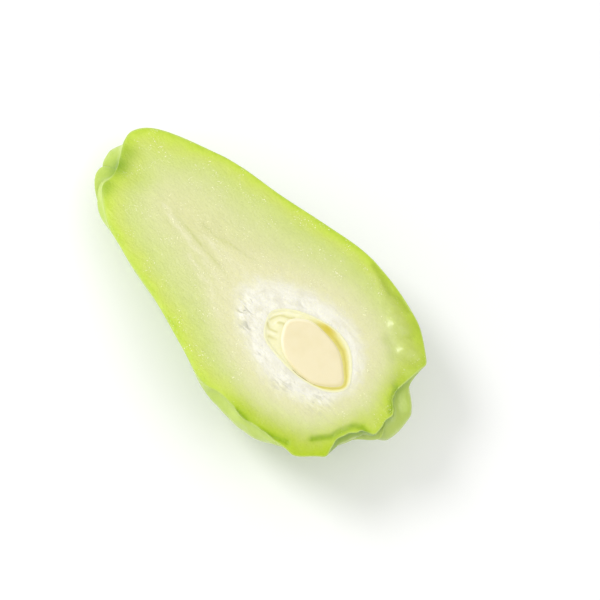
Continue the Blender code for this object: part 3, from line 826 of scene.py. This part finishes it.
coat = {
    "outline": bed["outline"], "depth": 6.4, "rings": 56, "segments": 400,
    "heldBySeed": 0.14,  # this share of its rings lies under the seed
    "lip": {"inside": 0.4, "width": 0.5, "height": 0.1},  # its thin outer edge, a little in from the rim
    "sag": {"depth": 0.3, "starts": (0.3, 1.2)},
    "band": {"towards": 40, "from": -0.35, "full": 0.3},  # the thick yellow side, as a bearing in degrees
    "folds": (((4.9, -4.6), (6, -1.4), (10, 1.6)), ((5.4, -6.2), (7.4, -6.9), (9.4, -5.9)),
              ((9, -8.9), (11.6, -8)), ((7.6, -3.2), (9.6, -2.6))),
    "ridges": (((4.2, -6.4), (4.3, -3), (6.4, 0.6), (10.6, 3.4)), ((7, -5), (7.4, -2.6), (9.8, -0.6)),
               ((7, -8.4), (9.2, -7.4), (11.2, -6.6))),
    "foldWidth": 0.45, "foldDepth": 0.06, "foldStarts": (0.2, 1),
    "foldWander": (3, 0.5),  # (size, reach)
    "wrinkles": (1.9, 0.14),  # (size, height) of the small ones between
    "loose": (9, 13.5),  # it lies loose up to the first x and tight from the second
    "gap": {"path": ((23, -11), (25.3, -11), (28.7, -10.2), (31.6, -9.2)),  # the seed has shrunk from it here, and the gap is painted dark as its shade
            "width": 0.15, "depth": 0.2},
    "underSeed": {"drop": 1.4, "starts": (-0.2, -0.9)},
    "thickSpot": {"at": (20.6, 6.9), "reach": 2, "narrowing": (0.6, 1.2)},
}
seed = {
    "outline": ((9.3, -0.4), (11.6, -5.6), (15.8, -9), (21, -10.4), (26.4, -10.5), (32, -9), (37.6, -3.4),
                (34.4, 0.7), (28, 4.5), (20, 5.4), (13.6, 4.2)),
    "depth": 5, "rings": 40, "segments": 320,
    "crown": 0.12, "standsProud": 0.26, "bevel": 0.93,
    "waves": (5, 0.04),  # (size, height)
    "stemward": (23, 11.3),  # its edge gets a painted highlight, palest from the second x towards the stem
}


def makeHalfEgg(name, egg):
    # a ball whose upper half is pressed into the cut, ring by ring, and whose lower half is the bowl
    clearSelection()
    bpy.ops.mesh.primitive_uv_sphere_add(segments=egg["segments"], ring_count=egg["rings"] * 2, radius=1)
    half = bpy.context.object
    half.name = name
    ball = getPoints(half)
    top = ball[:, 2] > -1e-6
    bearing = np.arctan2(ball[:, 1], ball[:, 0])
    rim = rimReach(egg, bearing)
    share = 1 - np.arcsin(np.clip(ball[:, 2], 0, 1)) * 2 / math.pi
    held = egg.get("heldBySeed")
    if held:
        under = np.maximum(rimReach(seed, bearing) - 1, 0)
        pressed = np.where(share < held, share / held * under,
                           under + (share - held) / (1 - held) * (rim - under))
    else:
        pressed = rim * np.sin(share * math.pi / 2)
    radius = np.where(top, pressed, rim * np.hypot(ball[:, 0], ball[:, 1]))
    middleX, middleY = seedMiddle
    points = np.column_stack([middleX + radius * np.cos(bearing), middleY + radius * np.sin(bearing),
                              np.where(top, 0, ball[:, 2] * egg["depth"])])
    return half, points, radius / rim, top


def makeCoat():
    piece, points, _, top = makeHalfEgg("seedCoat", coat)
    flat = points[:, :2]
    fromRim = distanceToPath(flat, smoothLoop(coat["outline"], 12), closed=True)
    bearing = np.arctan2(flat[:, 1] - seedMiddle[1], flat[:, 0] - seedMiddle[0])
    outside = np.linalg.norm(flat - seedMiddle, axis=1) > rimReach(seed, bearing)
    fromSeed = distanceToPath(flat, smoothLoop(seed["outline"], 12), closed=True) * np.where(outside, 1, -1)
    lip, sag, side, cleft, under, thick = (
        coat[name] for name in ("lip", "sag", "band", "gap", "underSeed", "thickSpot"))
    band = smoothStep(side["from"], side["full"], np.cos(bearing - math.radians(side["towards"])))
    loose = 1 - smoothStep(*coat["loose"], flat[:, 0])
    bent = bend(flat, points, *coat["foldWander"])
    fold = alongPaths(bent, coat["folds"], coat["foldWidth"]) * loose
    ridge = alongPaths(bent, coat["ridges"], coat["foldWidth"]) * loose
    gap = alongPaths(flat, [cleft["path"]], cleft["width"])
    size, high = coat["wrinkles"]
    creased = coat["foldDepth"] * (ridge - fold) + high * softNoise(points, size, 4.4) * loose
    lift = lip["height"] * bell(fromRim - lip["inside"], lip["width"])
    lift = lift - sag["depth"] * smoothStep(*sag["starts"], fromRim) * (1 - band)
    lift = lift + creased * smoothStep(*coat["foldStarts"], fromRim)
    lift = lift - cleft["depth"] * gap - under["drop"] * smoothStep(*under["starts"], fromSeed)
    points[:, 2] = np.where(top, lift, points[:, 2])
    setPoints(piece, points)
    marks = {"fromRim": fromRim, "across": np.clip(fromSeed / np.maximum(fromSeed + fromRim, 0.01), 0, 1),
             "band": band, "fold": fold, "ridge": ridge, "gap": gap,
             "spot": bell(np.linalg.norm((flat - thick["at"]) * thick["narrowing"], axis=1), thick["reach"])}
    for name, values in marks.items():
        storeValue(piece, name, values)
    print("seed coat:", len(points), "points")
    return piece


def makeSeed():
    piece, points, reach, top = makeHalfEgg("seedHalf", seed)
    size, high = seed["waves"]
    face = seed["standsProud"] * smoothStep(1, seed["bevel"], reach) + seed["crown"] * (1 - reach**4)
    face = face + high * softNoise(points, size, 9)
    points[:, 2] = np.where(top, face, points[:, 2])
    setPoints(piece, points)
    storeValue(piece, "rimShare", np.where(top, reach, 1))
    storeValue(piece, "stemward", smoothStep(*seed["stemward"], points[:, 0]))
    print("seed:", len(points), "points")
    return piece


coatSkin = {  # thin wet membrane: cream, yellow where it is thick, wrinkled where it is loose, with painted shade in its fold troughs and its gap and painted highlights on its ridges
    "cream": "#efecc0", "yellow": "#e5dd84", "deep": "#d2c663", "spot": "#d6c548", "line": "#f2f0c4",
    "troughShade": "#dcd79c", "ridge": "#f3f0cc", "gap": "#c0b67e", "mottleSize": 2.2,
    "finish": {"Roughness": 0.24, "IOR": 1.4, "Subsurface Weight": 0.3, "Subsurface Radius": (1, 0.95, 0.6),
               "Subsurface Scale": 0.001},
}


def makeCoatMaterial():
    look = coatSkin
    mat, shader = newMaterial("wetSeedCoat")
    place = addNode(mat, "TexCoord", output="Object")
    mark = {name: addNode(mat, "Attribute", attribute_name=name, output="Fac")
            for name in ("fromRim", "across", "band", "fold", "ridge", "gap", "spot")}
    mottle = addNode(mat, "TexNoise", Scale=1000 / look["mottleSize"], Detail=3, links={"Vector": place})
    # the thick side is deepest beside the seed and pales towards its outer line
    thick = addNode(mat, "Math", operation="MULTIPLY_ADD", links={0: mottle, 1: 0.3, 2: mark["across"]})
    thickSide = addNode(mat, "ValToRGB", links={"Fac": thick},
                        stops=((0.15, look["yellow"]), (0.42, look["deep"]), (0.62, look["yellow"]),
                               (0.95, look["cream"])))
    outerLine = addNode(mat, "MapRange", From_Min=0.75, From_Max=0.3, To_Max=0.85,
                        links={"Value": mark["fromRim"]})
    surface = colour(look["cream"])
    # painted shade in the fold troughs and along the gap, painted highlights on the ridges
    for share, above in ((mark["band"], thickSide), (mark["spot"], colour(look["spot"])),
                         (mark["fold"], colour(look["troughShade"])), (mark["ridge"], colour(look["ridge"])),
                         (outerLine, colour(look["line"])), (mark["gap"], colour(look["gap"]))):
        surface = addNode(mat, "Mix", data_type="RGBA", output=2, links={0: share, 6: surface, 7: above})
    bump = addNode(mat, "Bump", Strength=0.35, Distance=0.0003, links={"Height": mottle})
    plugIn(mat, shader, {"Base Color": surface, "Normal": bump, **look["finish"]})
    return mat


seedFlesh = {  # firm, smooth cut seed: dense cream flesh with a satin face
    "middle": "#ede2bb", "shade": "#e8dcb0", "edge": "#e8dcaa", "bevel": "#f9f1d0",
    "driftSize": 9, "fineSize": 1.2,
    "finish": {"Roughness": 0.38, "Subsurface Weight": 0.2, "Subsurface Radius": (1, 0.95, 0.75),
               "Subsurface Scale": 0.0012},
}


def makeSeedMaterial():
    look = seedFlesh
    mat, shader = newMaterial("cutSeed")
    place = addNode(mat, "TexCoord", output="Object")
    rim, stemward = (addNode(mat, "Attribute", attribute_name=name, output="Fac")
                     for name in ("rimShare", "stemward"))
    drift, fine = (addNode(mat, "TexNoise", Scale=1000 / look[name], Detail=2,
                           links={"Vector": place}) for name in ("driftSize", "fineSize"))
    base = addNode(mat, "ValToRGB", links={"Fac": drift},
                   stops=((0.35, look["shade"]), (0.6, look["middle"])))
    # its bevelled edge has a painted highlight at the stem end and is yellower elsewhere
    bevel = addNode(mat, "Mix", data_type="RGBA", output=2,
                    links={0: stemward, 6: colour(look["edge"]), 7: colour(look["bevel"])})
    edge = addNode(mat, "MapRange", From_Min=0.88, From_Max=0.95, To_Max=0.9, links={"Value": rim})
    edged = addNode(mat, "Mix", data_type="RGBA", output=2, links={0: edge, 6: base, 7: bevel})
    bump = addNode(mat, "Bump", Strength=0.15, Distance=0.0002, links={"Height": fine})
    plugIn(mat, shader, {"Base Color": edged, "Normal": bump, **look["finish"]})
    return mat


room = {"floor": "#ffffff", "floorSize": 3, "sky": 0.68, "lens": 85,
        "viewAzimuth": 47, "viewElevation": 68, "viewDistance": 467.5,
        "seedSide": 9.9}  # the view is centred this far off the origin


def makeFloor():
    clearSelection()
    bpy.ops.mesh.primitive_plane_add(size=room["floorSize"], location=(0, 0, -0.00005))
    floor = bpy.context.object
    floor.name = "paleTable"
    mat, shader = newMaterial("paleTableTop")
    shader.inputs["Base Color"].default_value = colour(room["floor"])
    shader.inputs["Roughness"].default_value = 0.45
    floor.data.materials.append(mat)


def viewAxes():
    # right, up and back of the camera, in the fruit's own frame
    a, e = math.radians(room["viewAzimuth"]), math.radians(room["viewElevation"])
    back = Vector((math.sin(a) * math.cos(e), -math.cos(a) * math.cos(e), math.sin(e)))
    right = Vector((math.cos(a), math.sin(a), 0))
    return right, back.cross(right), back


def makeCamera():
    right, up, back = viewAxes()
    towards = (right * -room["seedSide"] - back * room["viewDistance"]).normalized()
    away = -towards * room["viewDistance"] * mm
    camera = bpy.data.objects.new("camera", bpy.data.cameras.new("camera"))
    bpy.context.scene.collection.objects.link(camera)
    camera.data.lens = room["lens"]
    camera.data.clip_start = 0.01
    axes = Matrix((right, up, back)).transposed()
    camera.matrix_world = rest @ (Matrix.Translation(away) @ axes.to_4x4())
    bpy.context.scene.camera = camera
    return camera


lamps = (
    # name, towards (right, up, back) of the camera, distance, size, power
    ("window", (-0.6, 0.65, 0.9), 0.75, 0.3, 2.2),
    ("fill", (0.9, 0, 0.8), 0.8, 0.6, 1.1),
    ("edge", (-0.9, -0.2, 0.35), 0.7, 0.3, 0.8),
)


def makeLights():
    right, up, back = viewAxes()
    for name, (r, u, b), distance, size, power in lamps:
        towards = (right * r + up * u + back * b).normalized()
        lamp = bpy.data.objects.new(name, bpy.data.lights.new(name, "AREA"))
        lamp.data.shape = "DISK"
        lamp.data.size = size
        lamp.data.energy = power
        bpy.context.scene.collection.objects.link(lamp)
        lamp.matrix_world = rest @ (Matrix.Translation(towards * distance)
                                    @ towards.to_track_quat("Z", "Y").to_matrix().to_4x4())
    world = bpy.data.worlds.new("room")
    world.use_nodes = True
    background = world.node_tree.nodes["Background"]
    background.inputs["Color"].default_value = (1, 1, 1, 1)
    background.inputs["Strength"].default_value = room["sky"]
    bpy.context.scene.world = world
    bpy.context.scene.view_settings.view_transform = "Standard"


fruit, onCut = makeRind()
makeCutFace(fruit, onCut)
makeBed(fruit)
finishPiece(fruit, (makeSkinMaterial(), makeFleshMaterial()), "fruit_half", 50)
splitMaterials(fruit)
finishPiece(makeCoat(), [makeCoatMaterial()], "seed_coat", 60)
finishPiece(makeSeed(), [makeSeedMaterial()], "seed", 60)
makeFloor()
makeCamera()
makeLights()
print("pieces are in place")
